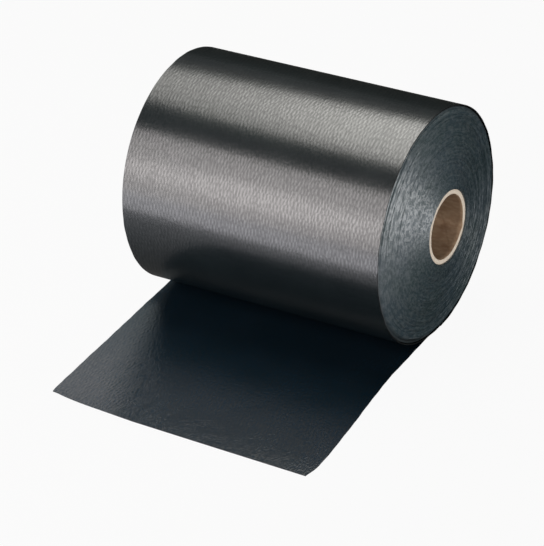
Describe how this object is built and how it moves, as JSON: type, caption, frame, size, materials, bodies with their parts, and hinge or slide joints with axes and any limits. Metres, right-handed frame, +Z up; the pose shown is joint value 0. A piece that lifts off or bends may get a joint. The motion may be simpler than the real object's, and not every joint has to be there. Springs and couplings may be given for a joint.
{
  "type": "roll of damp proof course",
  "caption": "Roll of black embossed plastic damp proof course on a cardboard core, lying on its side with its free end run out flat on the floor.",
  "frame": {"origin": "middle of the core's bore, on the roll's axis", "axes": "+X along the roll's axis, towards the end that the inner turns stand out of; -Y towards the free end, which lies on the floor; +Z up"},
  "size_m": [0.2339, 0.306, 0.1858],
  "materials": {
    "film": "black polyethylene film with a fine embossed grain, half gloss",
    "cardboard": "plain wound cardboard, matt, with square-cut ends"
  },
  "bodies": {
    "root": {"film_roll": "film", "core_tube": "cardboard"}
  },
  "joints": []
}
